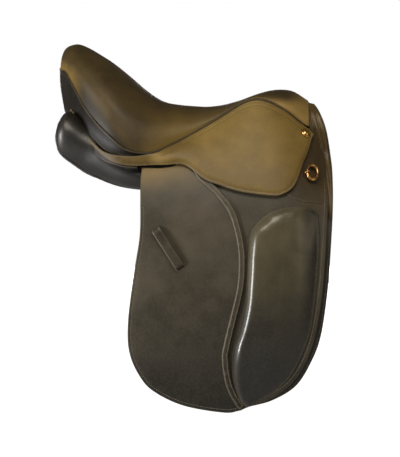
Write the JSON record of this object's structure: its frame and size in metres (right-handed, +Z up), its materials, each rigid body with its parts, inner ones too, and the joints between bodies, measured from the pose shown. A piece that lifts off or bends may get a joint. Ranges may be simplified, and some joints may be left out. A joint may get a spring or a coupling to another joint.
{
  "type": "english saddle",
  "caption": "Black leather dressage saddle: deep padded seat, lifting skirts and long flaps with knee blocks, stuffed panels, tree, stirrup bars with catches, girth billets and brass rings.",
  "frame": {"origin": "on the symmetry plane, at the top of the channel under the seat's lowest point, where a rack or a horse's back carries the saddle", "axes": "+X forward to the pommel, +Y to the horse's left, +Z up"},
  "size_m": [0.4864, 0.4506, 0.6254],
  "materials": {
    "seat_leather": "satin, grained",
    "dark_leather": "satin, grained",
    "block_leather": "gloss, fine creases",
    "panel_leather": "soft gloss",
    "strap_leather": "satin, smooth",
    "webbing": "woven",
    "foam": "matt",
    "moulding": "matt",
    "steel": "brushed",
    "brass": "polished"
  },
  "bodies": {
    "saddle": {"seat_cover": "seat_leather", "seat_foam": "foam", "seat_webbing": "webbing", "tree": "moulding", "seat_piping": "dark_leather", "cantle_facing": "dark_leather", "pommel_facing": "dark_leather", "channel_lining": "panel_leather", "head_plate": "steel", "panel_right": "panel_leather", "panel_left": "panel_leather", "flap_top_right": "dark_leather", "flap_top_left": "dark_leather", "sweat_flap_right": "panel_leather", "sweat_flap_left": "panel_leather", "skirt_band_right": "seat_leather", "skirt_band_left": "seat_leather", "point_pocket_right": "strap_leather", "point_pocket_left": "strap_leather", "front_girth_web_right": "webbing", "front_girth_web_left": "webbing", "rear_girth_web_right": "webbing", "rear_girth_web_left": "webbing", "stirrup_bar_right": "steel", "stirrup_bar_left": "steel", "catch_pin_right": "steel", "catch_pin_left": "steel", "rear_bar_rivet_right": "steel", "rear_bar_rivet_left": "steel", "front_bar_rivet_right": "steel", "front_bar_rivet_left": "steel", "ring_staple_right": "brass", "ring_staple_left": "brass"},
    "skirt_right": {"skirt_right": "seat_leather", "stud_right": "brass"},
    "flap_right": {"flap_right": "dark_leather", "knee_block_right": "block_leather", "keeper_right": "strap_leather"},
    "front_billet_right": {"front_billet_right": "strap_leather"},
    "rear_billet_right": {"rear_billet_right": "strap_leather"},
    "breastplate_ring_right": {"breastplate_ring_right": "brass"},
    "safety_catch_right": {"safety_catch_right": "steel"},
    "skirt_left": {"skirt_left": "seat_leather", "stud_left": "brass"},
    "flap_left": {"flap_left": "dark_leather", "knee_block_left": "block_leather", "keeper_left": "strap_leather"},
    "front_billet_left": {"front_billet_left": "strap_leather"},
    "rear_billet_left": {"rear_billet_left": "strap_leather"},
    "breastplate_ring_left": {"breastplate_ring_left": "brass"},
    "safety_catch_left": {"safety_catch_left": "steel"}
  },
  "joints": [
    {"name": "skirt_lift_right", "type": "hinge", "parent": "saddle", "child": "skirt_right", "pos_m": [0.06, -0.1215, 0.02025], "axis": [-0.9463, -0.1918, -0.2602], "range_deg": [0, 100]},
    {"name": "flap_lift_right", "type": "hinge", "parent": "saddle", "child": "flap_right", "pos_m": [0.06, -0.1685, -0.095], "axis": [-1, 0, 0], "range_deg": [0, 60]},
    {"name": "front_billet_swing_right", "type": "hinge", "parent": "saddle", "child": "front_billet_right", "pos_m": [0.038, -0.154, -0.08], "axis": [0, -1, 0], "range_deg": [-8, 8]},
    {"name": "rear_billet_swing_right", "type": "hinge", "parent": "saddle", "child": "rear_billet_right", "pos_m": [-0.022, -0.1475, -0.08], "axis": [0, -1, 0], "range_deg": [-8, 8]},
    {"name": "ring_swing_right", "type": "hinge", "parent": "saddle", "child": "breastplate_ring_right", "pos_m": [0.18879, -0.13214, -0.04346], "axis": [0.2841, -0.3981, -0.8722], "range_deg": [0, 110]},
    {"name": "catch_turn_right", "type": "hinge", "parent": "saddle", "child": "safety_catch_right", "pos_m": [0.09, -0.1094, 0.0053], "axis": [0, 0.7804, -0.6252], "range_deg": [0, 85]},
    {"name": "skirt_lift_left", "type": "hinge", "parent": "saddle", "child": "skirt_left", "pos_m": [0.06, 0.1215, 0.02025], "axis": [0.9463, -0.1918, 0.2602], "range_deg": [0, 100]},
    {"name": "flap_lift_left", "type": "hinge", "parent": "saddle", "child": "flap_left", "pos_m": [0.06, 0.1685, -0.095], "axis": [1, 0, 0], "range_deg": [0, 60]},
    {"name": "front_billet_swing_left", "type": "hinge", "parent": "saddle", "child": "front_billet_left", "pos_m": [0.038, 0.154, -0.08], "axis": [0, -1, 0], "range_deg": [-8, 8]},
    {"name": "rear_billet_swing_left", "type": "hinge", "parent": "saddle", "child": "rear_billet_left", "pos_m": [-0.022, 0.1475, -0.08], "axis": [0, -1, 0], "range_deg": [-8, 8]},
    {"name": "ring_swing_left", "type": "hinge", "parent": "saddle", "child": "breastplate_ring_left", "pos_m": [0.18879, 0.13214, -0.04346], "axis": [-0.2841, -0.3981, 0.8722], "range_deg": [0, 110]},
    {"name": "catch_turn_left", "type": "hinge", "parent": "saddle", "child": "safety_catch_left", "pos_m": [0.09, 0.1094, 0.0053], "axis": [0, 0.7804, 0.6252], "range_deg": [0, 85]}
  ]
}
